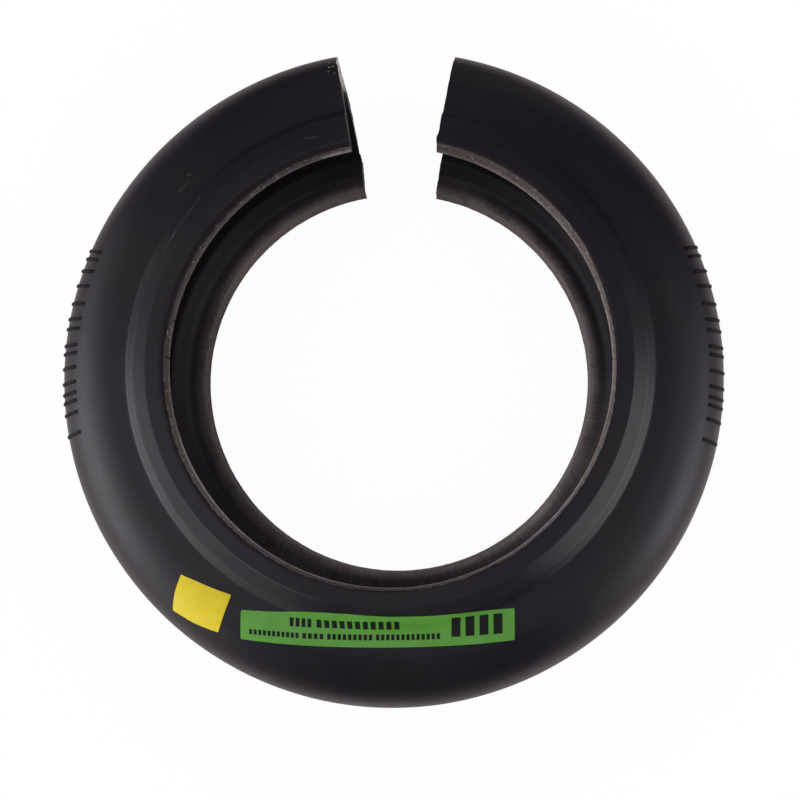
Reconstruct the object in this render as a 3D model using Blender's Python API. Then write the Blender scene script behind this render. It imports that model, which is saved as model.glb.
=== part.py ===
"""Flexible tyre of a shaft coupling: a split, moulded rubber ring of C section.

The ring lies flat. Its axis is +Z, the origin is on that axis in the plane of
the lower bead face, and the split faces +Y. All sizes are in metres.
"""

import math

import bmesh
import bpy
from mathutils import Vector

# Ring
BORE_RADIUS = 0.0670
SECTION_HEIGHT = 0.0385
SECTION_WIDTH = 0.0560
SPLIT_ANGLE = math.radians(21.5)

# Clamping beads: widths run outwards from the bore, drops run in from the bead face
BEAD_THICKNESS = 0.0085
BEAD_LAND_WIDTH = 0.0051
BEAD_INNER_LAND_WIDTH = 0.0060
BEAD_EDGE_ROUNDING = 0.0005
SHALLOW_BEVEL_WIDTH = 0.0042
SHALLOW_BEVEL_DROP = 0.0011
STEEP_BEVEL_WIDTH = 0.0026
STEEP_BEVEL_DROP = 0.0027
NECK_FILLET = 0.0012

# Sidewalls and crown
SIDEWALL_LAND_WIDTH = 0.0048
SIDEWALL_THICKNESS = 0.0090
CROWN_THICKNESS = 0.0110

# Cavity between the beads, open towards the axis
CAVITY_RAMP_WIDTH = 0.0035
CAVITY_LAND_WIDTH = 0.0025
CAVITY_FILLET = 0.0030

# Adhesive labels draped over the upper sidewall, sizes as seen along the axis,
# insets from the bore to a label's middle
LABEL_THICKNESS = 0.00020
LABEL_CLEARANCE = 0.00032
STRIP_LENGTH = 0.0794
STRIP_HEIGHT = 0.0095
STRIP_INSET = 0.0117
STRIP_AZIMUTH = math.radians(-92.0)
STRIP_TURN = math.radians(2.4)
STRIP_BOW = 0.0019
PATCH_LENGTH = 0.0160
PATCH_HEIGHT = 0.0120
PATCH_INSET = 0.0235
LABEL_SPACING = 0.00545
PATCH_TURN = math.radians(16.9)
PATCH_BOW = 0.0004

# Fineness of the curved stretches
RING_STEPS = 60
CROWN_STEPS = 10
CAVITY_STEPS = 7
FILLET_STEPS = 3
EDGE_STEPS = 1
STRIP_CELLS = (44, 12)
PATCH_CELLS = (7, 6)
SMOOTH_ANGLE = math.radians(24.0)

RUBBER_COLOUR = (0.020, 0.019, 0.022, 1.0)
GREEN_COLOUR = (0.100, 0.330, 0.055, 1.0)
YELLOW_COLOUR = (0.740, 0.620, 0.035, 1.0)
RUBBER_ROUGHNESS = 0.42
FILM_ROUGHNESS = 0.35


def clear_scene():
    for item in list(bpy.data.objects):
        bpy.data.objects.remove(item, do_unlink=True)


def make_material(name, colour, roughness):
    material = bpy.data.materials.new(name)
    material.use_nodes = True
    shader = material.node_tree.nodes["Principled BSDF"]
    shader.inputs["Base Color"].default_value = colour
    shader.inputs["Roughness"].default_value = roughness
    shader.inputs["Metallic"].default_value = 0.0
    return material


def fillet(before, corner, after, rounding, steps):
    """Points of the arc that rounds one corner of a profile."""
    to_before = (before - corner).normalized()
    to_after = (after - corner).normalized()
    half_angle = to_before.angle(to_after) / 2
    bisector = (to_before + to_after).normalized()
    centre = corner + bisector * (rounding / math.sin(half_angle))
    reach = rounding / math.tan(half_angle)
    first = corner + to_before * reach - centre
    last = corner + to_after * reach - centre
    sweep = math.atan2(first.cross(last), first.dot(last))
    start = math.atan2(first.y, first.x)
    points = []
    for step in range(steps + 1):
        angle = start + sweep * step / steps
        points.append(centre + rounding * Vector((math.cos(angle), math.sin(angle))))
    return points


def round_corners(corners):
    """Profile points through a run of (radius, height, rounding, steps) corners."""
    places = [Vector(corner[:2]) for corner in corners]
    points = [places[0]]
    for index in range(1, len(corners) - 1):
        rounding, steps = corners[index][2:]
        if rounding:
            points += fillet(places[index - 1], places[index], places[index + 1],
                             rounding, steps)
        else:
            points.append(places[index])
    points.append(places[-1])
    return points


def quarter_oval(start_radius, end_radius, height, steps):
    """Quarter of an oval from its top at start_radius to the mid-plane at end_radius."""
    points = []
    for step in range(1, steps + 1):
        angle = math.pi / 2 * step / steps
        radius = start_radius + (end_radius - start_radius) * math.sin(angle)
        points.append(Vector((radius, height * math.cos(angle))))
    points[-1].y = 0.0
    return points


def upper_outside():
    """Bead face, two bevels, neck, sidewall and crown, from the bore to the mid-plane."""
    bead_face = SECTION_WIDTH / 2
    shallow_end = BORE_RADIUS + BEAD_LAND_WIDTH + SHALLOW_BEVEL_WIDTH
    steep_end = shallow_end + STEEP_BEVEL_WIDTH
    sidewall = sidewall_height()
    shoulder = steep_end + SIDEWALL_LAND_WIDTH
    corners = [
        (BORE_RADIUS, bead_face - BEAD_THICKNESS / 2, 0, 0),
        (BORE_RADIUS, bead_face, BEAD_EDGE_ROUNDING, EDGE_STEPS),
        (BORE_RADIUS + BEAD_LAND_WIDTH, bead_face, 0, 0),
        (shallow_end, bead_face - SHALLOW_BEVEL_DROP, 0, 0),
        (steep_end, sidewall, NECK_FILLET, FILLET_STEPS),
        (shoulder, sidewall, 0, 0),
    ]
    crown = quarter_oval(shoulder, BORE_RADIUS + SECTION_HEIGHT, sidewall, CROWN_STEPS)
    return round_corners(corners)[1:] + crown


def upper_inside():
    """Inner bead face, ramp, wall and roof of the cavity, from the bore to the mid-plane."""
    bead_back = SECTION_WIDTH / 2 - BEAD_THICKNESS
    wall = sidewall_height() - SIDEWALL_THICKNESS
    ramp_start = BORE_RADIUS + BEAD_INNER_LAND_WIDTH
    ramp_end = ramp_start + CAVITY_RAMP_WIDTH
    roof_start = ramp_end + CAVITY_LAND_WIDTH
    corners = [
        (BORE_RADIUS, bead_back + BEAD_THICKNESS / 2, 0, 0),
        (BORE_RADIUS, bead_back, BEAD_EDGE_ROUNDING, EDGE_STEPS),
        (ramp_start, bead_back, CAVITY_FILLET, FILLET_STEPS),
        (ramp_end, wall, CAVITY_FILLET, FILLET_STEPS),
        (roof_start, wall, 0, 0),
    ]
    roof_end = BORE_RADIUS + SECTION_HEIGHT - CROWN_THICKNESS
    roof = quarter_oval(roof_start, roof_end, wall, CAVITY_STEPS)
    return round_corners(corners)[1:] + roof


def sidewall_height():
    return SECTION_WIDTH / 2 - SHALLOW_BEVEL_DROP - STEEP_BEVEL_DROP


def section_outline():
    """The closed C section, once round, heights measured from the mid-plane."""
    outside = upper_outside()
    inside = upper_inside()
    below_outside = [Vector((point.x, -point.y)) for point in outside[-2::-1]]
    below_inside = [Vector((point.x, -point.y)) for point in inside]
    return outside + below_outside + below_inside + inside[-2::-1]


def add_object(name, bm, material, location):
    mesh = bpy.data.meshes.new(name)
    bm.to_mesh(mesh)
    bm.free()
    mesh.materials.append(material)
    mesh.shade_smooth()
    mesh.set_sharp_from_angle(angle=SMOOTH_ANGLE)
    item = bpy.data.objects.new(name, mesh)
    item.location = location
    bpy.context.collection.objects.link(item)
    return item


def make_tyre():
    """The section is spun about the axis from one side of the split to the other."""
    bm = bmesh.new()
    start = math.pi / 2 + SPLIT_ANGLE / 2
    section = []
    for point in section_outline():
        place = (point.x * math.cos(start), point.x * math.sin(start), point.y)
        section.append(bm.verts.new(place))
    edges = []
    for index, vert in enumerate(section):
        edges.append(bm.edges.new((section[index - 1], vert)))
    spun = bmesh.ops.spin(
        bm, geom=section + edges, cent=(0, 0, 0), axis=(0, 0, 1),
        angle=2 * math.pi - SPLIT_ANGLE, steps=RING_STEPS, use_duplicate=False,
    )
    far_edges = [item for item in spun["geom_last"] if isinstance(item, bmesh.types.BMEdge)]
    for rim in (edges, far_edges):
        end_face = bmesh.ops.contextual_create(bm, geom=rim)["faces"]
        bmesh.ops.triangulate(bm, faces=end_face)
    bmesh.ops.recalc_face_normals(bm, faces=bm.faces)
    material = make_material("moulded_rubber", RUBBER_COLOUR, RUBBER_ROUGHNESS)
    return add_object("tyre", bm, material, (0, 0, SECTION_WIDTH / 2))


def outside_height(radius, profile):
    """Height and slope of the upper outside at one radius."""
    for before, after in zip(profile, profile[1:]):
        if radius <= after.x:
            break
    slope = (after.y - before.y) / (after.x - before.x)
    return before.y + slope * (radius - before.x), slope


def make_label(name, length, height, radius, azimuth, turn, bow, cells, colour, tyre):
    """A thin sheet that follows the outside of the tyre a small clearance above it."""
    profile = upper_outside()
    along = Vector((-math.sin(azimuth + turn), math.cos(azimuth + turn)))
    across = Vector((along.y, -along.x))
    centre = radius * Vector((math.cos(azimuth), math.sin(azimuth)))
    bm = bmesh.new()
    bmesh.ops.create_grid(bm, x_segments=cells[0], y_segments=cells[1], size=0.5)
    for vert in bm.verts:
        share_along, share_across = vert.co.xy
        drift = height * share_across - bow * (2 * share_along) ** 2
        plan = centre + along * (length * share_along) + across * drift
        rise, slope = outside_height(plan.length, profile)
        vert.co = (plan.x, plan.y, rise + LABEL_CLEARANCE * math.hypot(1, slope))
    material = make_material(name + "_film", colour, FILM_ROUGHNESS)
    label = add_object(name, bm, material, (0, 0, 0))
    film = label.modifiers.new("film", "SOLIDIFY")
    film.thickness = LABEL_THICKNESS
    film.offset = 1.0
    label.parent = tyre
    return label


def main():
    clear_scene()
    tyre = make_tyre()
    strip_radius = BORE_RADIUS + STRIP_INSET
    patch_radius = BORE_RADIUS + PATCH_INSET
    strip_half_angle = math.atan2(STRIP_LENGTH / 2, strip_radius)
    patch_offset_angle = (LABEL_SPACING + PATCH_LENGTH / 2) / patch_radius
    patch_azimuth = STRIP_AZIMUTH - strip_half_angle - patch_offset_angle
    make_label("green_strip_label", STRIP_LENGTH, STRIP_HEIGHT, strip_radius, STRIP_AZIMUTH,
               STRIP_TURN, STRIP_BOW, STRIP_CELLS, GREEN_COLOUR, tyre)
    make_label("yellow_patch_label", PATCH_LENGTH, PATCH_HEIGHT, patch_radius, patch_azimuth,
               PATCH_TURN, PATCH_BOW, PATCH_CELLS, YELLOW_COLOUR, tyre)


main()
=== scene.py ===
import math

import bpy
import numpy as np
from mathutils import Matrix, Vector, noise


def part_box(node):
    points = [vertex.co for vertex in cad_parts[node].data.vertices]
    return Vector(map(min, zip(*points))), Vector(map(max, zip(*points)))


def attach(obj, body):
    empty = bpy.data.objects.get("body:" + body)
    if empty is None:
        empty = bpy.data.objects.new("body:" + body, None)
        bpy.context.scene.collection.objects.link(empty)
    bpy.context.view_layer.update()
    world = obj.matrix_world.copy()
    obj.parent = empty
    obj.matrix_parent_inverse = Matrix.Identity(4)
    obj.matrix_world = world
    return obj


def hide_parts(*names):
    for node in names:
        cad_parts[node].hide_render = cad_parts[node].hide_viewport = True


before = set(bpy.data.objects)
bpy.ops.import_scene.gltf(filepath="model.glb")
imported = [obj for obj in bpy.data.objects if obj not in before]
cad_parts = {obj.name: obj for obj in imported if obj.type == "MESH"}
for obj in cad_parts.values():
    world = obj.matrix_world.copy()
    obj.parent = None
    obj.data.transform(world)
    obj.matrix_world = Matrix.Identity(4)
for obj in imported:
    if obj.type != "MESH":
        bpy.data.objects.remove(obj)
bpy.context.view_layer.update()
print("frame loaded:", sorted(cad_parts))

mm = 0.001
scene = bpy.context.scene

# the ring's size comes from the frame, the rest of its section is restated here
lowest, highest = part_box("tyre")
tyre = {
    "boreRadius": 67.0 * mm,
    "outerRadius": -lowest.x,
    "width": highest.z,
    "splitAngle": math.radians(21.5),
    "beadThickness": 8.5 * mm,
    "landWidth": 5.1 * mm,          # flat bead face
    "backWidth": 6.0 * mm,          # flat back of the bead, in the cavity
    "shallowBevel": (4.2 * mm, 1.1 * mm),
    "steepBevel": (2.6 * mm, 2.7 * mm),
    "sidewallWidth": 4.8 * mm,
    "sidewallThickness": 9.0 * mm,
    "crownThickness": 11.0 * mm,
    "rampWidth": 3.5 * mm,
    "cavityLand": 2.5 * mm,
    "edgeRounding": 0.5 * mm,
    "creaseRounding": 0.45 * mm,
    "neckRounding": 1.2 * mm,
    "filletRounding": 3.0 * mm,
    "pointSpacing": 1.1 * mm,
    "crownSteps": 22,
    "ringSteps": 396,
    "capLayers": 8,                 # grid lines through the rubber on a cut end
    "waviness": 0.10 * mm,          # unevenness of the moulded skin
    "trimRoughness": 0.12 * mm,     # unevenness of the ground bore edges
}
midHeight = tyre["width"] / 2
sidewallHeight = midHeight - tyre["shallowBevel"][1] - tyre["steepBevel"][1]
shoulderRadius = (tyre["boreRadius"] + tyre["landWidth"] + tyre["shallowBevel"][0]
                  + tyre["steepBevel"][0] + tyre["sidewallWidth"])

# cracks in the bore edges: azimuth in degrees, 1 for the upper bead or -1 for the lower one,
# then depth, width and run in mm, of which run is how far a crack reaches up from the bead's back
nicks = [
    (179.4, 1, 0.35, 0.22, 6.0), (169.6, 1, 0.15, 0.3, 3.0), (18.8, 1, 0.2, 0.3, 2.5),
    (1.1, 1, 0.2, 0.25, 3.0), (69.6, -1, 0.12, 1.4, 9.0), (-94.5, -1, 0.12, 0.5, 9.0),
]


def limited(value):
    return min(1.0, max(0.0, value))


def cornerArc(before, corner, after, rounding, steps):
    toBefore = (before - corner).normalized()
    toAfter = (after - corner).normalized()
    halfAngle = toBefore.angle(toAfter) / 2
    centre = corner + (toBefore + toAfter).normalized() * (rounding / math.sin(halfAngle))
    reach = rounding / math.tan(halfAngle)
    first = corner + toBefore * reach - centre
    last = corner + toAfter * reach - centre
    start = math.atan2(first.y, first.x)
    sweep = math.atan2(first.cross(last), first.dot(last))
    angles = [start + sweep * step / steps for step in range(steps + 1)]
    return [centre + rounding * Vector((math.cos(a), math.sin(a))) for a in angles]


# corners are (radius, height, rounding, steps)
def roundedRun(corners):
    places = [Vector(corner[:2]) for corner in corners]
    points = [places[0]]
    for index in range(1, len(places) - 1):
        rounding, steps = corners[index][2:]
        if rounding:
            points += cornerArc(places[index - 1], places[index], places[index + 1], rounding, steps)
        else:
            points.append(places[index])
    return points + [places[-1]]


def quarterOval(startRadius, endRadius, height):
    points = []
    for step in range(1, tyre["crownSteps"] + 1):
        angle = math.pi / 2 * step / tyre["crownSteps"]
        radius = startRadius + (endRadius - startRadius) * math.sin(angle)
        points.append(Vector((radius, height * math.cos(angle))))
    return points


def evenlySpaced(points):
    finer = [points[0]]
    for before, after in zip(points, points[1:]):
        pieces = max(1, math.ceil((after - before).length / tyre["pointSpacing"]))
        finer += [before.lerp(after, (k + 1) / pieces) for k in range(pieces)]
    return finer


# from the middle of a bead's bore over its face and the crown to the mid-plane
def outsideRun():
    bore = tyre["boreRadius"]
    landEnd = bore + tyre["landWidth"]
    shallowEnd = landEnd + tyre["shallowBevel"][0]
    steepEnd = shallowEnd + tyre["steepBevel"][0]
    corners = [
        (bore, midHeight - tyre["beadThickness"] / 2, 0, 0),
        (bore, midHeight, tyre["edgeRounding"], 3),
        (landEnd, midHeight, tyre["creaseRounding"], 2),
        (shallowEnd, midHeight - tyre["shallowBevel"][1], tyre["creaseRounding"], 2),
        (steepEnd, sidewallHeight, tyre["neckRounding"], 4),
        (shoulderRadius, sidewallHeight, 0, 0),
    ]
    crown = quarterOval(shoulderRadius, tyre["outerRadius"], sidewallHeight)
    keys = [Vector(corners[k][:2]) for k in (0, 1, 4, 5)] + [crown[-1]]
    return evenlySpaced(roundedRun(corners)) + crown, keys


# the same way round inside, over the back of the bead, the ramp and the cavity's roof
def insideRun():
    bore = tyre["boreRadius"]
    back = midHeight - tyre["beadThickness"]
    wall = sidewallHeight - tyre["sidewallThickness"]
    rampStart = bore + tyre["backWidth"]
    rampEnd = rampStart + tyre["rampWidth"]
    roofStart = rampEnd + tyre["cavityLand"]
    corners = [
        (bore, back + tyre["beadThickness"] / 2, 0, 0),
        (bore, back, tyre["edgeRounding"], 3),
        (rampStart, back, tyre["filletRounding"], 5),
        (rampEnd, wall, tyre["filletRounding"], 5),
        (roofStart, wall, 0, 0),
    ]
    roof = quarterOval(roofStart, tyre["outerRadius"] - tyre["crownThickness"], wall)
    keys = [Vector(corners[k][:2]) for k in (0, 1, 3, 4)] + [roof[-1]]
    return evenlySpaced(roundedRun(corners)) + roof, keys


def lengthsAlong(points):
    lengths = [0.0]
    for before, after in zip(points, points[1:]):
        lengths.append(lengths[-1] + (after - before).length)
    return lengths


# how far along the run the point nearest to each key corner lies
def keyLengths(points, keys):
    lengths = lengthsAlong(points)
    found = []
    for key in keys:
        gaps = [(point - key).length for point in points]
        found.append(lengths[gaps.index(min(gaps))])
    return found


# ribs cross the rubber from an outside point to the inside point that faces it
def makeRibs():
    outside, outsideKeys = outsideRun()
    inside, insideKeys = insideRun()
    matched = np.interp(lengthsAlong(outside), keyLengths(outside, outsideKeys),
                        keyLengths(inside, insideKeys))
    insideLengths = lengthsAlong(inside)
    across = np.interp(matched, insideLengths, [p.x for p in inside])
    up = np.interp(matched, insideLengths, [p.y for p in inside])
    upper = [(point, Vector((x, y))) for point, x, y in zip(outside, across, up)]
    lower = [(Vector((a.x, -a.y)), Vector((b.x, -b.y))) for a, b in upper[-2::-1]]
    return upper + lower


# normals point out of the rubber on both sides
def ribNormals(points, turn):
    normals = []
    for index in range(len(points)):
        before = points[max(0, index - 1)]
        after = points[min(len(points) - 1, index + 1)]
        along = (after - before).normalized()
        normals.append(Vector((-along.y, along.x)) * turn)
    return normals


ribs = makeRibs()
outsidePoints = [rib[0] for rib in ribs]
insidePoints = [rib[1] for rib in ribs]
outsideNormals = ribNormals(outsidePoints, 1)
insideNormals = ribNormals(insidePoints, -1)
ribCount = len(ribs)
print("ribs in the section:", ribCount)


# 1 on a bead's bore surface, fading out just past its edges
def boreShare(radius):
    return limited(1 - (radius - tyre["boreRadius"] - 0.2 * mm) / (0.6 * mm))


def nickDepth(azimuth, height):
    total = 0.0
    for middle, bead, depth, width, run in nicks:
        turn = math.remainder(azimuth - math.radians(middle), 2 * math.pi)
        gap = turn * tyre["boreRadius"] / (width * mm)
        above = height * bead - midHeight + tyre["beadThickness"]
        if height * bead > 0 and abs(gap) < 4:
            total += depth * mm * limited(run - above / mm) * math.exp(-gap * gap)
    return total


# how far the skin lies below its nominal place, never above it
def skinDrop(point, azimuth):
    spot = Vector((point.x * math.cos(azimuth), point.x * math.sin(azimuth), point.y))
    wave = noise.noise(spot * 42) * 0.7 + noise.noise(spot * 110) * 0.3
    drop = tyre["waviness"] * (0.5 + 0.5 * wave)
    trimShare = boreShare(point.x)
    if trimShare > 0:
        crumbs = max(0.0, 0.3 + 0.4 * noise.noise(spot * 420) + 0.5 * noise.noise(spot * 1100))
        drop += trimShare * (tyre["trimRoughness"] * crumbs + nickDepth(azimuth, point.y))
    return drop


# a point of the section, turned to its azimuth, with heights from the table
def turned(point, azimuth):
    return (point.x * math.cos(azimuth), point.x * math.sin(azimuth), point.y + midHeight)


# the same on the uneven skin, or a lift above it
def onSkin(point, normal, azimuth, lift):
    return turned(point + normal * (lift - skinDrop(point, azimuth)), azimuth)


# the cut ends: how far they stand out into the split, by radius, in mm on both walls
cutEnds = {
    "uneven": 0.13 * mm,
    "frayed": 0.12 * mm,
    "reach": 5.0 * mm,              # the skin follows the cut over this length
    "finerSteps": (0.45, 1.0, 1.7, 2.6, 3.7),
    "left": {
        "near": ((67, -0.2), (70, -0.1), (85, 0), (100, 0.1), (105, 0)),
        "far": ((67, 0.3), (70.5, 0.1), (76, 0.8), (79.3, 1.3), (80.0, 0.6), (88, 0.6), (100, 0.6),
                (105, 0)),
    },
    "right": {
        "near": ((67, -1.2), (68.4, -0.7), (70.5, -1.0), (85, -0.8), (95, -0.6), (101, -0.4), (105, 0.1)),
        "far": ((67, -0.5), (75, -0.25), (80, -0.4), (90, -0.3), (105, 0.1)),
    },
}


def endShift(side, point):
    spot = Vector((point.x, point.y, 0.2 * side))
    shift = cutEnds["uneven"] * noise.noise(spot * 230) + cutEnds["frayed"] * noise.noise(spot * 900)
    near, far = (np.interp(point.x / mm, *zip(*cutEnds["right" if side else "left"][wall]))
                 for wall in ("near", "far"))
    share = limited(0.5 + point.y / (24 * mm))
    return shift + (near * share + far * (1 - share)) * mm


# even steps round the ring, with closer ones at the cut ends and at each nick
def ringTurns():
    start = math.pi / 2 + tyre["splitAngle"] / 2
    sweep = 2 * math.pi - tyre["splitAngle"]
    bore = tyre["boreRadius"]
    turns = [step / tyre["ringSteps"] * sweep for step in range(tyre["ringSteps"] + 1)]
    for gap in cutEnds["finerSteps"]:
        turns += [gap * mm / bore, sweep - gap * mm / bore]
    for nick in nicks:
        middle = (math.radians(nick[0]) - start) % (2 * math.pi)
        turns += [middle + share * nick[3] * mm / bore for share in (-1.6, -0.7, 0, 0.7, 1.6)]
    turns = sorted(turns)
    closest = 0.18 * mm / bore
    kept = [turns[0]]
    for turn in turns[1:-1]:
        if turn - kept[-1] > closest and sweep - turn > closest:
            kept.append(turn)
    return start, sweep, kept + [sweep]


def ringPoint(point, normal, azimuth, fromStart, fromEnd):
    placed = point - normal * skinDrop(point, azimuth)
    for side, away in ((0, fromStart), (1, fromEnd)):
        distance = away * point.x
        if distance < cutEnds["reach"]:
            share = (1 - distance / cutEnds["reach"]) ** 2
            turn = endShift(side, point) * share / point.x
            azimuth += turn if side else -turn
    return turned(placed, azimuth)


# 1 on the outer part of the crown, where the left end is scuffed most
def onCrown(point):
    return limited((point.x - 92 * mm) / (4 * mm))


# scuffed skin along the left end
def edgeWear(turn, point):
    fromEnd = turn * point.x / (0.9 * mm)
    return 0.0 if point.y < 0 or fromEnd > 1 else (0.25 + 0.75 * onCrown(point)) * (1 - fromEnd)


# the same on the cut face: over most of the crown, fading out down the walls, and along the edge
def faceWear(share, point):
    outwards = limited((point.x - shoulderRadius) / (tyre["outerRadius"] - shoulderRadius))
    belowSkin = sidewallHeight * math.sqrt(1 - outwards * outwards) - point.y
    onTop = limited((26 * mm - belowSkin) / (10 * mm))
    onWall = limited((point.x - 84 * mm) / (10 * mm)) * (0.45 if point.y > 0 else 0.85)
    frayed = 0.6 if 79 * mm < point.x < 85 * mm else 0.3
    onEdge = frayed * max(0.0, 1 - share / 0.25) if point.y > 0 else 0.0
    crown = onCrown(point)
    return max(crown * onTop + (1 - crown) * onWall, onEdge)


# zones: 0 moulded skin, 1 trimmed bore edge, 2 cavity, 3 cut end, and 4 for the raised marks
def makeTyreMesh():
    start, sweep, turns = ringTurns()
    loop = [(outsidePoints[k], outsideNormals[k]) for k in range(ribCount)]
    loop += [(insidePoints[k], insideNormals[k]) for k in range(ribCount - 2, 0, -1)]
    count = len(loop)
    verts, faces, zones, depths, wear = [], [], [], [], []
    for turn in turns:
        for index, (point, normal) in enumerate(loop):
            verts.append(ringPoint(point, normal, start + turn, turn, sweep - turn))
            depths.append(0.0 if index < ribCount else 1.0)
            wear.append(edgeWear(turn, point) if index < ribCount else 0.0)
    for step in range(len(turns) - 1):
        for k in range(count):
            a = step * count + k
            b = step * count + (k + 1) % count
            faces.append((a, b, b + count, a + count))
            middle = (loop[k][0] + loop[(k + 1) % count][0]) / 2
            inTheBore = middle.x < tyre["boreRadius"] + 0.3 * mm
            zones.append(1 if inTheBore else 0 if k < ribCount else 2)
    for side in (0, 1):
        addCutEnd(side, (len(turns) - 1) * count * side, verts, faces, zones, depths, wear)
    return verts, faces, zones, depths, wear


# a grid across the rubber that shares the ring's last row of points
def addCutEnd(side, row, verts, faces, zones, depths, wear):
    layers = tyre["capLayers"]
    grid = {}
    for k in range(ribCount):
        single = k in (0, ribCount - 1)
        outer = row + k
        inner = outer if single else row + 2 * ribCount - 2 - k
        for layer in range(layers + 1):
            if single or layer == 0:
                grid[k, layer] = outer
            elif layer == layers:
                grid[k, layer] = inner
            else:
                share = layer / layers
                spot = Vector(verts[outer]).lerp(Vector(verts[inner]), share)
                radius = math.hypot(spot.x, spot.y)
                flat = outsidePoints[k].lerp(insidePoints[k], share)
                shift = (endShift(side, flat) - 0.12 * mm) / radius
                turn = tyre["splitAngle"] / 2 - shift
                azimuth = math.pi / 2 + (-turn if side else turn)
                grid[k, layer] = len(verts)
                verts.append((radius * math.cos(azimuth), radius * math.sin(azimuth), spot.z))
                depths.append(share)
                wear.append(0.0 if side else faceWear(share, flat))
    for k in range(ribCount - 1):
        for layer in range(layers):
            corners = [grid[k, layer], grid[k + 1, layer], grid[k + 1, layer + 1], grid[k, layer + 1]]
            corners = [c for n, c in enumerate(corners) if c != corners[n - 1]]
            faces.append(tuple(corners if side else corners[::-1]))
            zones.append(3)


# a closed shell between two draped sheets: place(u, v, lift) gives a point, and top and bottom
# are lifts, of which top may change with u and v
def addShell(place, cells, top, bottom, verts, faces):
    columns, rows = cells
    base = len(verts)
    for sheet in (top, bottom):
        for row in range(rows + 1):
            for column in range(columns + 1):
                u, v = column / columns, row / rows
                verts.append(place(u, v, sheet(u, v) if callable(sheet) else sheet))
    wide = columns + 1
    under = base + wide * (rows + 1)
    for row in range(rows):
        for column in range(columns):
            a = row * wide + column
            faces.append((base + a, base + a + wide, base + a + wide + 1, base + a + 1))
            faces.append((under + a, under + a + 1, under + a + wide + 1, under + a + wide))
    border = list(range(columns)) + [r * wide + columns for r in range(rows)]
    border += [rows * wide + c for c in range(columns, 0, -1)] + [r * wide for r in range(rows, 0, -1)]
    for index, a in enumerate(border):
        b = border[(index + 1) % len(border)]
        faces.append((base + a, base + b, under + b, under + a))


# plain raised bars on both shoulders, each given by the azimuth where it starts
marks = {
    "height": 0.55 * mm,
    "rooted": -0.15 * mm,           # the edges of a bar go this far into the skin
    "stroke": 1.35 * mm,
    "flank": 0.28 * mm,
    "cells": (6, 12),
    "left": {
        "slopes": (32, 62),
        "places": [159.2, 160.7, 163.0, 165.8, 169.1, 171.9, 173.7, 176.7, 178.2, 180.8, 183.5,
                   185.4, 186.9, 189.0, 192.7],
    },
    "right": {
        "slopes": (35, 64),
        "places": [21.2, 19.6, 16.7, 13.9, 10.6, 7.7, 5.7, 2.8, 1.3, -1.6, -4.4, -6.3, -7.8,
                   -10.3, -14.0],
    },
}


# a point of the crown at an azimuth and at a slope, which is 0 on top and a right angle at the rim
def crownPoint(azimuth, slope, lift):
    reach = tyre["outerRadius"] - shoulderRadius
    point = Vector((shoulderRadius + reach * math.sin(slope), sidewallHeight * math.cos(slope)))
    normal = Vector((math.sin(slope) / reach, math.cos(slope) / sidewallHeight)).normalized()
    return onSkin(point, normal, azimuth, lift)


def addBar(azimuth, slopes, verts, faces):
    first = math.radians(azimuth)
    low, high = (math.radians(slope) for slope in slopes)
    width = marks["stroke"]
    length = (high - low) * sidewallHeight

    def place(u, v, lift):
        return crownPoint(first + width / tyre["outerRadius"] * u, low + (high - low) * v, lift)

    def top(u, v):
        edge = min(u * width, (1 - u) * width, v * length, (1 - v) * length)
        edge = min(1.0, edge / marks["flank"])
        rise = edge * edge * (3 - 2 * edge)
        return marks["rooted"] + (marks["height"] - marks["rooted"]) * rise

    addShell(place, marks["cells"], top, marks["rooted"] - 0.2 * mm, verts, faces)


def addMarks(verts, faces):
    for side in ("left", "right"):
        for azimuth in marks[side]["places"]:
            addBar(azimuth, marks[side]["slopes"], verts, faces)


def addObject(name, data):
    item = bpy.data.objects.new(name, data)
    scene.collection.objects.link(item)
    return item


def makeMesh(name, verts, faces):
    mesh = bpy.data.meshes.new(name)
    mesh.from_pydata(verts, [], faces)
    mesh.validate()
    mesh.shade_smooth()
    mesh.set_sharp_from_angle(angle=math.radians(40))
    return addObject(name, mesh)


# a node with its settings and inputs, where an input is a value or another node's output
def addNode(tree, kind, inputs, **settings):
    node = tree.nodes.new("ShaderNode" + kind)
    for name, value in settings.items():
        setattr(node, name, value)
    for socket, value in inputs.items():
        if isinstance(value, bpy.types.NodeSocket):
            tree.links.new(value, node.inputs[socket])
        else:
            node.inputs[socket].default_value = value
    return node


# the outputs of a node added to the tree that its inputs come from
def addAfter(kind, inputs, **settings):
    tree = next(value.id_data for value in inputs.values() if isinstance(value, bpy.types.NodeSocket))
    return addNode(tree, kind, inputs, **settings).outputs


def calc(operation, first, second=0.5, clamp=False):
    return addAfter("Math", {0: first, 1: second}, operation=operation, use_clamp=clamp)[0]


def plus(first, second):
    return calc("ADD", first, second)


def minus(first, second):
    return calc("SUBTRACT", first, second)


def times(first, second):
    return calc("MULTIPLY", first, second)


def vectorCalc(operation, first, second):
    return addAfter("VectorMath", {0: first, 1: second}, operation=operation)[0]


# the one number that comes of one or two vectors
def measure(operation, first, second=(0, 0, 0)):
    return addAfter("VectorMath", {0: first, 1: second}, operation=operation)["Value"]


def objectPlace(tree):
    return addNode(tree, "TexCoord", {}).outputs["Object"]


def cloud(vector, scale, detail=2.0, roughness=0.5):
    inputs = {"Vector": vector, "Scale": scale, "Detail": detail, "Roughness": roughness}
    return addAfter("TexNoise", inputs)[0]


def remap(value, low, high, toLow=0.0, toHigh=1.0):
    inputs = {"Value": value, "From Min": low, "From Max": high, "To Min": toLow, "To Max": toHigh}
    return addAfter("MapRange", inputs, interpolation_type="SMOOTHSTEP")[0]


def blend(share, first, second):
    return addAfter("Mix", {0: share, 6: first, 7: second}, data_type="RGBA")[2]


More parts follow.
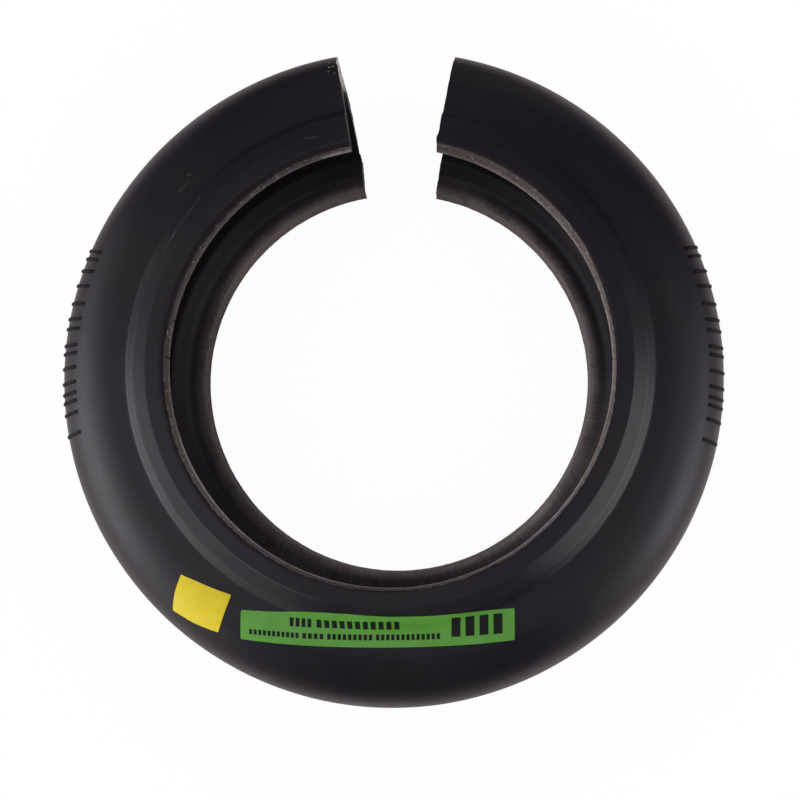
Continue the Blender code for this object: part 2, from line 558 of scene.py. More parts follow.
# a tone laid over a colour where a mask says so
def lay(colour, tone, where, strength=1.0):
    if strength != 1.0:
        where = times(where, strength)
    return blend(where, colour, tone)


# a node group that puts out what make returns, with None for an input that is a vector
def makeGroup(name, make, **inputs):
    group = bpy.data.node_groups.new(name, "ShaderNodeTree")
    for label, value in inputs.items():
        kind = "NodeSocketVector" if value is None else "NodeSocketFloat"
        socket = group.interface.new_socket(name=label, in_out="INPUT", socket_type=kind)
        if value is not None:
            socket.default_value = value
    made = make(group, group.nodes.new("NodeGroupInput").outputs)
    for label, value in made.items():
        kind = "NodeSocketVector" if value.type == "VECTOR" else "NodeSocketFloat"
        group.interface.new_socket(name=label, in_out="OUTPUT", socket_type=kind)
    out = group.nodes.new("NodeGroupOutput").inputs
    for label, value in made.items():
        group.links.new(value, out[label])
    return group


def useGroup(tree, group, **inputs):
    return addNode(tree, "Group", inputs, node_tree=group).outputs


def mask(tree, group, **inputs):
    return useGroup(tree, group, **inputs)["Mask"]


def rgba(red, green, blue):
    return (red, green, blue, 1.0)


# where a point lies on the ring: its place along the ring, height and radius, all in metres
def findRingPlace(group, given):
    place = objectPlace(group)
    parts = addAfter("SeparateXYZ", {0: place})
    radius = measure("LENGTH", vectorCalc("MULTIPLY", place, (1, 1, 0)))
    azimuth = calc("ARCTAN2", parts[0], times(parts[1], -1.0))  # seam in the split
    along = times(azimuth, 0.085)
    unrolled = addAfter("CombineXYZ", {0: along, 1: parts[2], 2: radius})[0]
    return {"Unrolled": unrolled, "Radius": radius, "Height": parts[2]}


# soft cloudy patches of dust and bloom
def findHaze(group, given):
    broad = cloud(given["Vector"], given["Patches"], 4.0, 0.55)
    fine = cloud(given["Vector"], times(given["Patches"], 9.0), 3.0, 0.6)
    both = plus(times(broad, 0.8), times(fine, 0.2))
    middle = minus(1.0, given["Coverage"])
    low = minus(middle, given["Softness"])
    high = plus(middle, given["Softness"])
    return {"Mask": remap(both, low, high)}


# the grain of moulded rubber, as a height from 0 to 1
def findGrain(group, given):
    fine = cloud(given["Vector"], given["Grain"], 2.0, 0.6)
    broad = cloud(given["Vector"], given["Unevenness"], 3.0, 0.5)
    return {"Height": plus(times(fine, 0.45), times(broad, 0.55))}


# thin rubbed lines that run round the ring, from unrolled places
def findRubLines(group, given):
    fine = given["Fineness"]
    sizes = addAfter("CombineXYZ", {0: given["Length"], 1: fine, 2: fine})[0]
    lines = cloud(vectorCalc("MULTIPLY", given["Unrolled"], sizes), 1.0, 3.0, 0.6)
    edge = minus(1.0, times(given["Coverage"], 0.5))
    patches = remap(cloud(given["Unrolled"], 55.0, 2.0), 0.42, 0.6)
    lines = remap(lines, times(edge, 0.72), times(edge, 0.86))
    return {"Mask": times(lines, patches)}


# scattered specks, each a fixed share of its cell
def findSpecks(group, given):
    cells = addAfter("TexVoronoi", {"Vector": given["Vector"], "Scale": given["Count"]})
    near = remap(cells["Distance"], times(given["Size"], 0.5), given["Size"], 1.0, 0.0)
    chosen = addAfter("SeparateXYZ", {0: cells["Color"]})[0]
    return {"Mask": times(near, calc("LESS_THAN", chosen, given["Share"]))}


# torn, crumbly rubber with fibre ends, as a height and a mask of its pits
def findTorn(group, given):
    crumbs = cloud(given["Vector"], given["Crumbs"], 4.0, 0.65)
    cells = addAfter("TexVoronoi", {"Vector": given["Vector"], "Scale": given["Crumbs"]})
    height = plus(times(crumbs, 0.7), times(cells["Distance"], 0.3))
    middle = times(given["Pits"], 0.9)
    low, high = minus(middle, 0.09), plus(middle, 0.03)
    return {"Height": height, "Pits": remap(crumbs, low, high, 1.0, 0.0)}


# 1 at a place on the object, fading to 0 at the given reach
def findSpot(group, given):
    gap = measure("DISTANCE", objectPlace(group), given["Place"])
    inside = times(given["Reach"], 0.35)
    return {"Mask": remap(gap, inside, given["Reach"], 1.0, 0.0)}


# a thin line between two places on the object, broken up along its length
def findScratch(group, given):
    place = objectPlace(group)
    whole = vectorCalc("SUBTRACT", given["To"], given["From"])
    gone = vectorCalc("SUBTRACT", place, given["From"])
    share = measure("DOT_PRODUCT", gone, whole)
    share = calc("DIVIDE", share, measure("DOT_PRODUCT", whole, whole), True)
    foot = addAfter("VectorMath", {0: whole, "Scale": share}, operation="SCALE")[0]
    gap = measure("DISTANCE", gone, foot)
    line = remap(gap, times(given["Width"], 0.3), given["Width"], 1.0, 0.0)
    broken = remap(cloud(place, 650.0, 3.0, 0.6), 0.34, 0.56)
    return {"Mask": times(line, broken)}


# 1 between two radii of the ring
def findBand(group, given):
    soft = 0.3 * mm
    inside = remap(given["Radius"], minus(given["Inner"], soft), given["Inner"])
    outside = plus(given["Outer"], soft)
    outside = remap(given["Radius"], given["Outer"], outside, 1.0, 0.0)
    return {"Mask": times(inside, outside)}


# chafed rubber where the mesh says so, with a frayed border
def findChafing(group, given):
    wear = addNode(group, "Attribute", {}, attribute_name="wear").outputs["Fac"]
    both = plus(times(wear, 0.6), cloud(given["Vector"], 700.0, 3.0, 0.6))
    return {"Mask": remap(both, given["Start"], given["Full"])}


ringPlace = makeGroup("ringPlace", findRingPlace)
dustHaze = makeGroup("dustHaze", findHaze, Vector=None, Patches=40.0, Coverage=0.5, Softness=0.18)
rubberGrain = makeGroup("rubberGrain", findGrain, Vector=None, Grain=3200.0, Unevenness=420.0)
rubLines = makeGroup("rubLines", findRubLines, Unrolled=None, Fineness=900.0, Length=22.0, Coverage=0.3)
specks = makeGroup("specks", findSpecks, Vector=None, Count=260.0, Size=0.12, Share=0.3)
tornRubber = makeGroup("tornRubber", findTorn, Vector=None, Crumbs=950.0, Pits=0.5)
spotMask = makeGroup("spotMask", findSpot, Place=None, Reach=0.002)
scratch = makeGroup("scratch", findScratch, From=None, To=None, Width=0.0003)
band = makeGroup("band", findBand, Radius=0.0, Inner=0.07, Outer=0.08)
chafing = makeGroup("chafing", findChafing, Vector=None, Start=0.9, Full=1.05)

white = rgba(1.0, 1.0, 1.0)
rubberTint = rgba(0.97, 0.91, 1.0)


def newMaterial(name, roughness, specular, tint=white):
    material = bpy.data.materials.new(name)
    material.use_nodes = True
    tree = material.node_tree
    shader = tree.nodes["Principled BSDF"].inputs
    shader["Roughness"].default_value = roughness
    shader["Specular IOR Level"].default_value = specular
    shader["Specular Tint"].default_value = tint
    return material, tree, shader, objectPlace(tree)


def connect(tree, shader, colour, height, depth):
    tree.links.new(colour, shader["Base Color"])
    bump = addAfter("Bump", {"Height": height, "Distance": depth, "Strength": 1.0})
    tree.links.new(bump["Normal"], shader["Normal"])


# azimuth in degrees, radius and height in mm
def ringSpot(azimuth, radius, height):
    angle = math.radians(azimuth)
    return (radius * mm * math.cos(angle), radius * mm * math.sin(angle), height * mm)


def spotOn(tree, spot, reach):
    return mask(tree, spotMask, Place=ringSpot(*spot), Reach=reach * mm)


# the strongest of several spots at one radius and height: azimuth, reach and strength of each
def strongest(tree, ringSpots, least=0.0):
    (radius, height), spots = ringSpots
    most = least
    for azimuth, reach, strength in spots:
        here = times(spotOn(tree, (azimuth, radius, height), reach), strength)
        most = calc("MAXIMUM", most, here)
    return most


# spots are given by azimuth in degrees, radius and height in mm, and reach in mm
skin = {
    "black": rgba(0.008, 0.0064, 0.0105),
    "warmHaze": rgba(0.016, 0.0128, 0.012),
    "coolHaze": rgba(0.0098, 0.0104, 0.015),
    "rubbed": rgba(0.034, 0.033, 0.034),
    "dust": rgba(0.06, 0.048, 0.038),
    "paintedBevelSheen": rgba(0.062, 0.058, 0.063),
    "scratched": rgba(0.075, 0.07, 0.078),
    # painted shade, for the raised marks and a small dent
    "paintedShadeBlack": rgba(0.001, 0.001, 0.001),
    "crust": rgba(0.56, 0.45, 0.39),
    "chafed": rgba(0.94, 0.89, 0.86),
    "grainDepth": 0.05 * mm,
    # each scratch as two places, then its width in mm and its strength, below 0 for a dark line of
    # painted shade in a small dent
    "scratches": [
        ((151.7, 75.2, 55.2), (146.5, 75.3, 55.15), 0.32, 0.85),
        ((154.6, 75.3, 55.15), (151.8, 75.45, 55.1), 0.30, 0.4),
        ((145.5, 75.4, 55.15), (139.8, 75.5, 55.1), 0.30, 0.4),
        ((141.8, 83.1, 52.2), (138.4, 82.9, 52.2), 0.28, 0.45),
        ((137.9, 84.6, 52.1), (137.3, 84.0, 52.2), 0.35, 0.45),
        ((111.4, 72.1, 56.0), (108.1, 71.1, 56.0), 0.35, 0.5),
        # painted shade in a small dent
        ((154.5, 80.2, 52.2), (152.9, 79.2, 52.2), 0.45, -0.9),
    ],
    # the shallow bevel, the steep one and the crease at the bead face, by radius in mm
    "bands": ((72.2, 76.3), (76.5, 78.7), (72.0, 72.3)),
    # painted highlight: a sheen on the bevels where light would catch them, given as place, reach, and
    # its strength on both bevels
    "bevelSheenSpots": [
        ((-26.0, 74.5, 55.0), 46, 1.0, 0.6),
        ((203.0, 77.5, 53.5), 42, 0.10, 0.45),
        ((236.0, 76.0, 54.5), 32, 0.25, 0.35),
    ],
    # painted highlight along the crease at the bead face
    "creaseSheenSpot": ((234.0, 72.2, 56.0), 36, 0.4),
    # pale crumbs by the left end, each with its strength
    "crumbs": [
        ((102.27, 98.06, 46.2), 0.4), ((102.33, 95.5, 48.35), 0.9), ((101.59, 95.57, 48.3), 1.0),
        ((102.66, 93.5, 49.6), 0.4), ((101.55, 92.3, 50.2), 0.3),
    ],
    "crumbReach": 0.45,
}


def makeSkinMaterial():
    material, tree, shader, place = newMaterial("mouldedRubber", 0.48, 0.26, rubberTint)
    ring = useGroup(tree, ringPlace)
    warm = mask(tree, dustHaze, Vector=place, Patches=26.0, Coverage=0.46)
    cool = mask(tree, dustHaze, Vector=place, Patches=17.0, Coverage=0.42)
    rubs = mask(tree, rubLines, Unrolled=ring["Unrolled"], Fineness=1500.0, Length=30.0)
    dust = mask(tree, specks, Vector=place, Count=240.0, Size=0.07, Share=0.25)
    colour = lay(skin["black"], skin["warmHaze"], warm, 0.55)
    colour = lay(colour, skin["coolHaze"], cool, 0.5)
    shallow, steep, crease = (mask(tree, band, Radius=ring["Radius"], Inner=low * mm, Outer=high * mm)
                              for low, high in skin["bands"])
    # painted highlight on the bevels and the crease
    for spot, reach, onShallow, onSteep in skin["bevelSheenSpots"]:
        both = plus(times(shallow, onShallow), times(steep, onSteep))
        colour = lay(colour, skin["paintedBevelSheen"], both, spotOn(tree, spot, reach))
    spot, reach, strength = skin["creaseSheenSpot"]
    crease = times(crease, spotOn(tree, spot, reach))
    colour = lay(colour, skin["paintedBevelSheen"], crease, strength)
    colour = lay(colour, skin["rubbed"], rubs, 0.12)
    colour = lay(colour, skin["dust"], dust, 0.6)
    for first, last, width, strength in skin["scratches"]:
        line = mask(tree, scratch, From=ringSpot(*first), To=ringSpot(*last), Width=width * mm)
        # a line with strength below 0 is painted shade
        tone = skin["scratched"] if strength > 0 else skin["paintedShadeBlack"]
        colour = lay(colour, tone, line, abs(strength))
    for spot, strength in skin["crumbs"]:
        colour = lay(colour, skin["crust"], spotOn(tree, spot, skin["crumbReach"]), strength)
    chafed = mask(tree, chafing, Vector=place, Start=0.95, Full=1.1)
    colour = lay(colour, skin["chafed"], chafed)
    gloss = plus(0.45, times(warm, 0.07))
    gloss = minus(gloss, times(rubs, 0.05))
    tree.links.new(gloss, shader["Roughness"])
    height = useGroup(tree, rubberGrain, Vector=place)["Height"]
    height = minus(height, times(rubs, 0.15))
    connect(tree, shader, colour, height, skin["grainDepth"])
    return material


# painted shade: the raised marks are coloured blacker than the skin round them, for the shade on their
# flanks
def makeMarkMaterial():
    material, tree, shader, place = newMaterial("markRubber", 0.6, 0.1, rubberTint)
    cloudy = mask(tree, dustHaze, Vector=place, Patches=300.0)
    colour = lay(skin["paintedShadeBlack"], skin["black"], cloudy)
    height = useGroup(tree, rubberGrain, Vector=place)["Height"]
    connect(tree, shader, colour, height, skin["grainDepth"])
    return material


trim = {
    "dark": rgba(0.018, 0.014, 0.015),
    "brown": rgba(0.056, 0.043, 0.04),
    "pale": rgba(0.185, 0.155, 0.145),
    "chip": rgba(0.34, 0.3, 0.28),
    "paleWearAndLight": rgba(0.57, 0.49, 0.49),
    "dustAndLightTone": rgba(0.41, 0.335, 0.325),
    "skin": rgba(0.01, 0.0085, 0.0115),
    "depth": 0.22 * mm,
    # radius and height, then the azimuth, reach and strength of each spot
    # where smooth skin is left above the trimmed band, and how far down it comes in mm
    "smoothParts": ((67, 54), [
        (110, 26, 3.8), (135, 30, 4.2), (161, 27, 3.6), (185, 26, 2.0), (8, 30, 2.2),
        (212, 70, 0.8), (290, 70, 0.8),
    ]),
    # where the band is darker
    "dimParts": ((67, 52), [(157, 76, 0.85), (66, 38, 0.55)]),
    # where the band's edge in the cavity is pale: some wear, and painted light where more light falls on
    # it from across the bore
    "wearAndLightParts": ((67, 50), [
        (104, 9, 0.8), (228, 46, 0.74), (262, 40, 1.0), (300, 54, 0.84), (0, 40, 0.40),
        (50, 34, 0.32),
    ]),
    # where the lower bead's edge is paler, from dust and painted light
    "dustAndLightEdges": ((67, 5), [
        (122, 52, 0.58), (292, 84, 0.95), (52, 52, 0.42), (0, 44, 0.35),
    ]),
}


# a band of torn rubber, pale along one edge from wear and from painted light, with smooth skin left in
# places above it
def makeTrimMaterial():
    material, tree, shader, place = newMaterial("trimmedBead", 0.9, 0.12)
    ring = useGroup(tree, ringPlace)
    torn = useGroup(tree, tornRubber, Vector=place, Crumbs=1100.0, Pits=0.44)
    threads = mask(tree, rubLines, Unrolled=ring["Unrolled"], Fineness=1300.0, Length=120.0)
    mottle = vectorCalc("MULTIPLY", ring["Unrolled"], (620.0, 1100.0, 1100.0))
    mottle = cloud(mottle, 1.0, 5.0, 0.68)
    shade = mask(tree, dustHaze, Vector=place, Patches=110.0, Coverage=0.5)
    light = plus(remap(mottle, 0.36, 0.64), times(shade, 0.4))
    colour = lay(trim["brown"], trim["pale"], light, 0.75)
    far = calc("LESS_THAN", ring["Height"], 28 * mm)  # the lower bead
    near = minus(1.0, far)
    colour = lay(colour, trim["pale"], far, 0.55)
    colour = lay(colour, trim["brown"], strongest(tree, trim["dimParts"]), near)
    # dust and painted light on the lower bead's edge
    colour = lay(colour, trim["dustAndLightTone"], strongest(tree, trim["dustAndLightEdges"]), far)
    ragged = times(minus(cloud(place, 420.0, 4.0, 0.6), 0.5), 3.0 * mm)
    wandering = plus(ring["Height"], ragged)
    line = remap(wandering, 48.6 * mm, 51.2 * mm, 1.0, 0.0)
    line = times(line, remap(mottle, 0.3, 0.56, 0.35, 1.0))
    # wear and painted light: the pale line is strongest where light falls on it from across the bore
    paleWearAndLight = strongest(tree, trim["wearAndLightParts"], 0.15)
    colour = lay(colour, trim["paleWearAndLight"], times(line, near), paleWearAndLight)
    colour = lay(colour, trim["dark"], threads, 0.35)
    colour = lay(colour, trim["dark"], torn["Pits"], 0.8)
    chips = mask(tree, specks, Vector=place, Count=900.0, Size=0.5, Share=0.16)
    colour = lay(colour, trim["chip"], chips, 0.75)
    lowered = times(strongest(tree, trim["smoothParts"]), mm)
    above = plus(minus(wandering, 56.2 * mm), lowered)
    smooth = remap(above, -0.3 * mm, 0.3 * mm)
    smooth = calc("MAXIMUM", smooth, remap(ring["Radius"], 67.1 * mm, 67.35 * mm))
    colour = lay(colour, trim["skin"], smooth)
    height = minus(torn["Height"], times(threads, 0.3))
    connect(tree, shader, colour, times(height, minus(1.0, smooth)), trim["depth"])
    return material


inner = {
    "black": rgba(0.009, 0.0076, 0.011),
    "hazeAndLight": rgba(0.052, 0.044, 0.052),
    # painted light falling in through the bore, at the bore edge
    "edge": rgba(0.205, 0.172, 0.172),
    "settledDustAndLight": rgba(0.24, 0.205, 0.215),
    "dustAndLightTone": rgba(0.62, 0.515, 0.505),
    # where each of the four tones fades out behind the bead, by radius in mm; the fades are painted light
    # that falls in through the bore and dims towards the back of the cavity
    "fades": ((69.5, 77.5), (66.5, 71.5), (68.0, 80.0), (67.4, 70.0)),
    # where most dust and painted light lie on the lower bead, and where there is least haze and painted
    # light
    "dustAndLightSpot": ((292.0, 70.0, 8.0), 88),
    "leastHazeAndLight": ((32.0, 76.0, 14.0), 52),
    # where the lower bead's back is paler along its edge, from dust and painted light
    "dustAndLightEdges": ((69, 8.5), [
        (122, 50, 0.3), (288, 62, 1.0), (52, 50, 0.15), (0, 40, 0.25),
    ]),
    "depth": 0.06 * mm,
}


# painted light: the tones are brightest at the bore edge, where light falls in, and fade to shade at the
# back of the cavity, with dust and haze over them
def makeCavityMaterial():
    material, tree, shader, place = newMaterial("cavityRubber", 0.55, 0.25, rubberTint)
    ring = useGroup(tree, ringPlace)
    haze = mask(tree, dustHaze, Vector=place, Patches=90.0, Coverage=0.5)
    streaks = vectorCalc("MULTIPLY", ring["Unrolled"], (1300.0, 90.0, 260.0))
    streaks = cloud(streaks, 1.0, 4.0, 0.65)
    uneven = plus(0.55, times(haze, 0.45))
    uneven = times(uneven, remap(streaks, 0.34, 0.66, 0.6, 1.0))
    outer, near, settledDustAndLight, rim = (remap(ring["Radius"], low * mm, high * mm, 1.0, 0.0)
                                 for low, high in inner["fades"])
    leastHazeAndLight = times(spotOn(tree, *inner["leastHazeAndLight"]), 0.95)
    outer = times(outer, minus(1.0, leastHazeAndLight))
    colour = lay(inner["black"], inner["hazeAndLight"], outer, uneven)
    colour = lay(colour, inner["edge"], near, uneven)
    settledDustAndLight = times(times(settledDustAndLight, spotOn(tree, *inner["dustAndLightSpot"])), uneven)
    colour = lay(colour, inner["settledDustAndLight"], settledDustAndLight, 0.9)
    rim = times(rim, strongest(tree, inner["dustAndLightEdges"]))
    colour = lay(colour, inner["dustAndLightTone"], rim, uneven)
    grain = useGroup(tree, rubberGrain, Vector=place, Grain=2400.0)["Height"]
    connect(tree, shader, colour, plus(grain, times(streaks, 0.4)), inner["depth"])
    return material


cut = {
    "black": rgba(0.011, 0.01, 0.01),
    "grey": rgba(0.045, 0.041, 0.038),
    "fibre": rgba(0.34, 0.3, 0.255),
    "plies": (0.30, 0.52),          # the cord layers, as shares of the rubber's thickness
    "depth": 0.25 * mm,
}


def makeCutMaterial():
    material, tree, shader, place = newMaterial("cutRubber", 0.72, 0.25)
    torn = useGroup(tree, tornRubber, Vector=place, Crumbs=800.0, Pits=0.5)
    depth = addNode(tree, "Attribute", {}, attribute_name="depth").outputs["Fac"]
    wander = times(minus(cloud(place, 190.0, 3.0), 0.5), 0.16)
    depth = plus(depth, wander)
    first, second = (calc("ABSOLUTE", minus(depth, share)) for share in cut["plies"])
    ply = remap(calc("MINIMUM", first, second), 0.02, 0.055, 1.0, 0.0)
    cords = mask(tree, specks, Vector=place, Count=900.0, Size=0.5, Share=0.7)
    skinEdge = remap(depth, 0.0, 0.12, 1.0, 0.0)
    scuffed = mask(tree, dustHaze, Vector=place, Patches=210.0, Coverage=0.52)
    colour = lay(cut["black"], cut["grey"], scuffed, 0.6)
    colour = lay(colour, cut["fibre"], skinEdge, scuffed)
    colour = lay(colour, cut["fibre"], ply, cords)
    chafed = mask(tree, chafing, Vector=place, Start=0.68, Full=0.9)
    colour = lay(colour, skin["chafed"], chafed)
    connect(tree, shader, colour, torn["Height"], cut["depth"])
    return material


def makeTyre():
    verts, faces, zones, depths, wear = makeTyreMesh()
    addMarks(verts, faces)
    zones += [4] * (len(faces) - len(zones))
    item = makeMesh("tyreRubber", verts, faces)
    for makeMaterial in (makeSkinMaterial, makeTrimMaterial, makeCavityMaterial, makeCutMaterial,
                         makeMarkMaterial):
        item.data.materials.append(makeMaterial())
    item.data.polygons.foreach_set("material_index", zones)
    for name, values in (("depth", depths), ("wear", wear)):
        values += [0.0] * (len(verts) - len(values))
        layer = item.data.attributes.new(name, "FLOAT", "POINT")
        layer.data.foreach_set("value", values)
    print("tyre rubber triangles:", sum(len(face) - 2 for face in faces))
    return item


tyrePiece = makeTyre()
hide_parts("tyre")
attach(tyrePiece, "root")

# the two adhesive films, drawn as seen along the axis
# how far their edges depart from a curved oblong is given in mm, by the share of the way along
labels = {
    "strip": {
        "name": "greenFilm", "node": "green_strip_label", "slot": "green_film",
        "length": 79.4 * mm, "height": 9.5 * mm, "inset": 11.7 * mm,
        "azimuth": math.radians(-92.0), "turn": math.radians(2.4), "bow": 1.9 * mm,
        "cells": (130, 20), "ripple": 0.05 * mm,
        "light": rgba(0.108, 0.33, 0.048), "deep": rgba(0.096, 0.3, 0.04), "clouds": 150.0,
        "boreEdge": ((0.0, 0.8), (0.09, 0.62), (0.15, 0.38), (0.2, 0.0), (0.26, -0.45),
                     (0.33, -0.43), (0.4, -0.3), (0.47, 0.1), (0.55, 0.4), (0.69, 0.48),
                     (0.77, 0.27), (0.84, 0.12), (0.91, 0.18), (1.0, 0.28)),
        "rimEdge": ((0.0, -0.15), (0.2, 0.0), (0.85, 0.0), (1.0, -0.18)),
        "leftEdge": ((0.0, 0.3), (1.0, 0.0)),
    },
    "patch": {
        "name": "yellowFilm", "node": "yellow_patch_label", "slot": "yellow_film",
        "length": 16.0 * mm, "height": 12.0 * mm, "inset": 23.5 * mm,
        "azimuth": math.radians(-127.3), "turn": math.radians(16.9), "bow": 0.4 * mm,
        "cells": (34, 26), "ripple": 0.06 * mm,
        "light": rgba(0.76, 0.585, 0.012), "deep": rgba(0.7, 0.53, 0.01), "clouds": 330.0,
        "boreEdge": ((0.0, 0.0), (0.3, -0.22), (0.5, -0.15), (0.8, 0.0), (1.0, 0.1)),
        "rimEdge": ((0.0, -0.5), (0.25, -0.3), (0.5, 0.0), (1.0, 0.0)),
        "leftEdge": ((0.0, 0.0), (0.5, -0.1), (1.0, 0.45)),
    },
}
film = {"thickness": 0.13 * mm, "sunk": -0.1 * mm, "corner": 0.15 * mm, "grainDepth": 0.012 * mm}


# a point above the upper skin at a place seen along the axis
def skinPoint(plan, lift):
    radius = plan.length
    for index in range(ribCount // 2):
        before, after = outsidePoints[index], outsidePoints[index + 1]
        if before.x <= radius < after.x:
            break
    share = (radius - before.x) / (after.x - before.x)
    normal = outsideNormals[index].lerp(outsideNormals[index + 1], share).normalized()
    return onSkin(before.lerp(after, share), normal, math.atan2(plan.y, plan.x), lift)


# across runs along the label and up towards the rim, both in metres from its middle
def labelPoint(label, across, up, lift):
    azimuth = label["azimuth"]
    heading = azimuth + label["turn"]
    along = Vector((-math.sin(heading), math.cos(heading)))
    outwards = Vector((along.y, -along.x))
    middle = Vector((math.cos(azimuth), math.sin(azimuth))) * (tyre["boreRadius"] + label["inset"])
    drift = up - label["bow"] * (2 * across / label["length"]) ** 2
    spot = Vector((across, up, 0)) * 260
    lift += label["ripple"] * max(0.0, noise.noise(spot + Vector((7, 3, 1))))
    return skinPoint(middle + along * across + outwards * drift, lift)


def makeFilm(label):
    verts, faces = [], []
    length, height, corner = label["length"], label["height"], film["corner"]

    def place(u, v, lift):
        fromEdge = min(v, 1 - v) * height
        cut = 0.0
        if fromEdge < corner:
            cut = corner - math.sqrt(corner ** 2 - (corner - fromEdge) ** 2)
        boreEdge, rimEdge = (np.interp(u, *zip(*label[edge])) * mm for edge in ("boreEdge", "rimEdge"))
        up = (v - 0.5) * height + boreEdge * (1 - v) + rimEdge * v
        leftEdge = np.interp(v, *zip(*label["leftEdge"])) * mm
        across = (u - 0.5) * (length - 2 * cut) + leftEdge * max(0.0, 1 - 4 * u)
        return labelPoint(label, across, up, lift)

    addShell(place, label["cells"], film["thickness"], film["sunk"], verts, faces)
    return makeMesh(label["name"], verts, faces)


def makeFilmMaterial(label):
    material, tree, shader, place = newMaterial(label["name"], 0.42, 0.35)
    clouds = mask(tree, dustHaze, Vector=place, Patches=label["clouds"], Coverage=0.55)
    dust = mask(tree, specks, Vector=place, Count=420.0, Size=0.09, Share=0.3)
    colour = lay(label["deep"], label["light"], clouds)
    colour = lay(colour, skin["dust"], dust, 0.35)
    tree.links.new(plus(0.38, times(clouds, 0.1)), shader["Roughness"])
    grain = useGroup(tree, rubberGrain, Vector=place, Grain=2600.0, Unevenness=700.0)["Height"]
    connect(tree, shader, colour, grain, film["grainDepth"])
    return material


for label in labels.values():
    piece = makeFilm(label)
    piece.data.materials.append(makeFilmMaterial(label))
    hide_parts(label["node"])
    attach(piece, "root")
print("films made")

# plain printed blocks on the strip, in mm: first and last place, upper and lower edge, blocks
ink = {
    "name": "printedBlocks",
    "thickness": 0.03 * mm,
    "rows": [
        (-25.2, -18.9, -2.95, -0.45, 4), (-17.4, 6.6, -2.95, -0.45, 11),
        (-37.0, -22.6, 1.25, 2.75, 11), (-21.5, -15.4, 1.25, 2.75, 4),
        (-14.3, -1.3, 1.15, 2.75, 9), (-0.2, 18.2, 1.1, 2.75, 13),
        (21.5, 36.3, -3.4, 2.3, 4),
    ],
    "fill": 0.64,
    "colour": rgba(0.011, 0.013, 0.011),
}


def makeInk():
    verts, faces = [], []
    strip = labels["strip"]
    low, high = film["thickness"] - 0.02 * mm, film["thickness"] + ink["thickness"]
    for first, last, upper, lower, blocks in ink["rows"]:
        pitch = (last - first + (1 - ink["fill"]) * (last - first) / blocks) / blocks
        for block in range(blocks):
            left = (first + block * pitch) * mm
            wide = pitch * ink["fill"] * mm

            def place(u, v, lift):
                return labelPoint(strip, left + wide * u, (upper + (lower - upper) * v) * mm, lift)

            cells = (max(2, round(wide / (0.6 * mm))), max(2, round((lower - upper) / 0.5)))
            addShell(place, cells, high, low, verts, faces)
    return makeMesh(ink["name"], verts, faces)


def makeInkMaterial():
    material, tree, shader, place = newMaterial("printInk", 0.6, 0.12)
    thin = mask(tree, dustHaze, Vector=place, Patches=900.0, Coverage=0.25, Softness=0.1)
    colour = lay(ink["colour"], labels["strip"]["deep"], thin, 0.12)
    tree.links.new(colour, shader["Base Color"])
    return material


inkPiece = makeInk()
inkPiece.data.materials.append(makeInkMaterial())
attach(inkPiece, "root")
print("pieces made")

# the lens axis stands nearly upright over the ring
cameraPlace = {
    "turn": math.radians(0.35),
    "eye": (16.68 * mm, -34.03 * mm, 314.88 * mm),
    "lean": (math.radians(-0.695), math.radians(6.527)),
    "lens": 40.0,
    "shift": (-0.0436, -0.0328),
}


def makeCamera():
    data = bpy.data.cameras.new("camera")
    data.sensor_width = 36.0
    data.lens = cameraPlace["lens"]
    data.shift_x, data.shift_y = cameraPlace["shift"]
    data.clip_start = 0.01
    camera = addObject("camera", data)
    leanX, leanY = cameraPlace["lean"]
    forward = Vector((math.sin(leanX), math.sin(leanY), -1)).normalized()
    right = forward.cross(Vector((0, 1, 0))).normalized()
    up = right.cross(forward)
    aimed = Matrix((right, up, -forward)).transposed().to_4x4()
    aimed.translation = Vector(cameraPlace["eye"])
    camera.matrix_world = Matrix.Rotation(cameraPlace["turn"], 4, "Z") @ aimed
    scene.camera = camera


makeCamera()

table = {
    "halfSize": 0.18,
    "whiteShare": 0.97,
    "colour": rgba(0.9, 0.9, 0.9),
    "reflected": rgba(1.0, 0.87, 0.88),     # the rubber's rim shows the table slightly warm
}


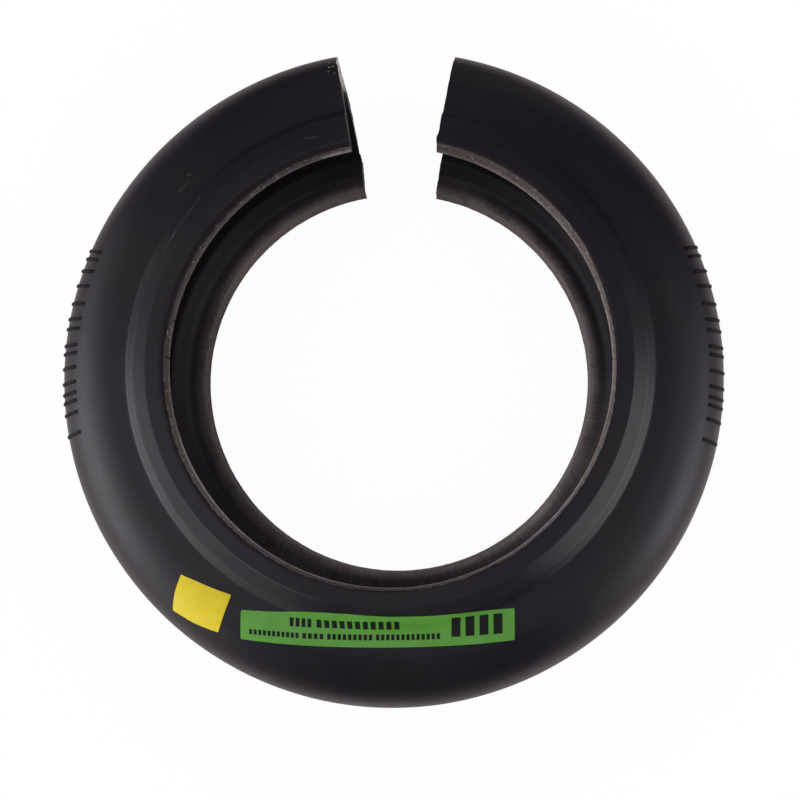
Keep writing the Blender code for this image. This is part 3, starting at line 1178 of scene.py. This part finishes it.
# a pale table that shows as white to the camera and keeps a little of the shadow
def makeFloor():
    half = table["halfSize"]
    mesh = bpy.data.meshes.new("floor")
    corners = [(-half, -half, 0), (half, -half, 0), (half, half, 0), (-half, half, 0)]
    mesh.from_pydata(corners, [], [(0, 1, 2, 3)])
    floor = addObject("floor", mesh)
    floor.location.z = -0.2 * mm
    material = bpy.data.materials.new("paleTable")
    material.use_nodes = True
    tree = material.node_tree
    shader = tree.nodes["Principled BSDF"]
    shader.inputs["Base Color"].default_value = table["colour"]
    shader.inputs["Roughness"].default_value = 0.8
    path = addNode(tree, "LightPath", {}).outputs
    seen = calc("MAXIMUM", path["Is Camera Ray"], path["Is Glossy Ray"])
    seen = calc("MAXIMUM", seen, path["Is Transmission Ray"])
    away = measure("LENGTH", objectPlace(tree))
    share = remap(away, half * 0.6, half, table["whiteShare"], 1.0)
    tone = blend(path["Is Camera Ray"], table["reflected"], white)
    glow = addNode(tree, "Emission", {"Color": tone, "Strength": 1.0}).outputs[0]
    seen = times(seen, share)
    mix = addNode(tree, "MixShader", {0: seen, 1: shader.outputs[0], 2: glow}).outputs[0]
    under = addNode(tree, "NewGeometry", {}).outputs["Backfacing"]  # the underside shows from below
    clear = addNode(tree, "BsdfTransparent", {}).outputs[0]
    mix = addNode(tree, "MixShader", {0: under, 1: mix, 2: clear}).outputs[0]
    tree.links.new(mix, tree.nodes["Material Output"].inputs["Surface"])
    mesh.materials.append(material)


makeFloor()

# softboxes round the table: azimuth and elevation in degrees, and power in watts
lamps = {
    "leftLow": (192, 10, 2.87),
    "leftBackLow": (168, 10, 1.22),
    "leftFrontLow": (216, 10, 1.75),
    "leftMid": (192, 28, 2.73),
    "leftHigh": (192, 62, 1.52),
    "rightLow": (0, 10, 1.27),
    "rightFrontLow": (336, 10, 3.24),
    "rightMid": (0, 45, 0.95),
    "rightHigh": (336, 62, 0.87),
    "backLow": (72, 10, 0.27),
    "backMid": (96, 28, 0.3),
}
lampDistance = 0.9
lampSize = 0.45
lampTarget = Vector((0, 0, 0.03))
worldStrength = 0.05


def makeLamps():
    for name, (azimuth, elevation, power) in lamps.items():
        data = bpy.data.lights.new(name, "AREA")
        data.size = lampSize
        data.energy = power
        item = addObject(name, data)
        azimuth, elevation = math.radians(azimuth), math.radians(elevation)
        flat = math.cos(elevation)
        way = Vector((flat * math.cos(azimuth), flat * math.sin(azimuth), math.sin(elevation)))
        item.location = way * lampDistance + lampTarget
        item.rotation_euler = (-way).to_track_quat("-Z", "Y").to_euler()


# the camera sees a white studio, the object only a dim one
def makeWorld():
    world = bpy.data.worlds.new("studio")
    scene.world = world
    world.use_nodes = True
    tree = world.node_tree
    dim = tree.nodes["Background"]
    dim.inputs["Color"].default_value = white
    dim.inputs["Strength"].default_value = worldStrength
    bright = addNode(tree, "Background", {"Color": white, "Strength": 1.0}).outputs[0]
    path = addNode(tree, "LightPath", {}).outputs
    mix = addNode(tree, "MixShader", {0: path["Is Camera Ray"], 1: dim.outputs[0], 2: bright})
    tree.links.new(mix.outputs[0], tree.nodes["World Output"].inputs["Surface"])


makeLamps()
makeWorld()
scene.view_settings.view_transform = "Standard"
print("stage made")
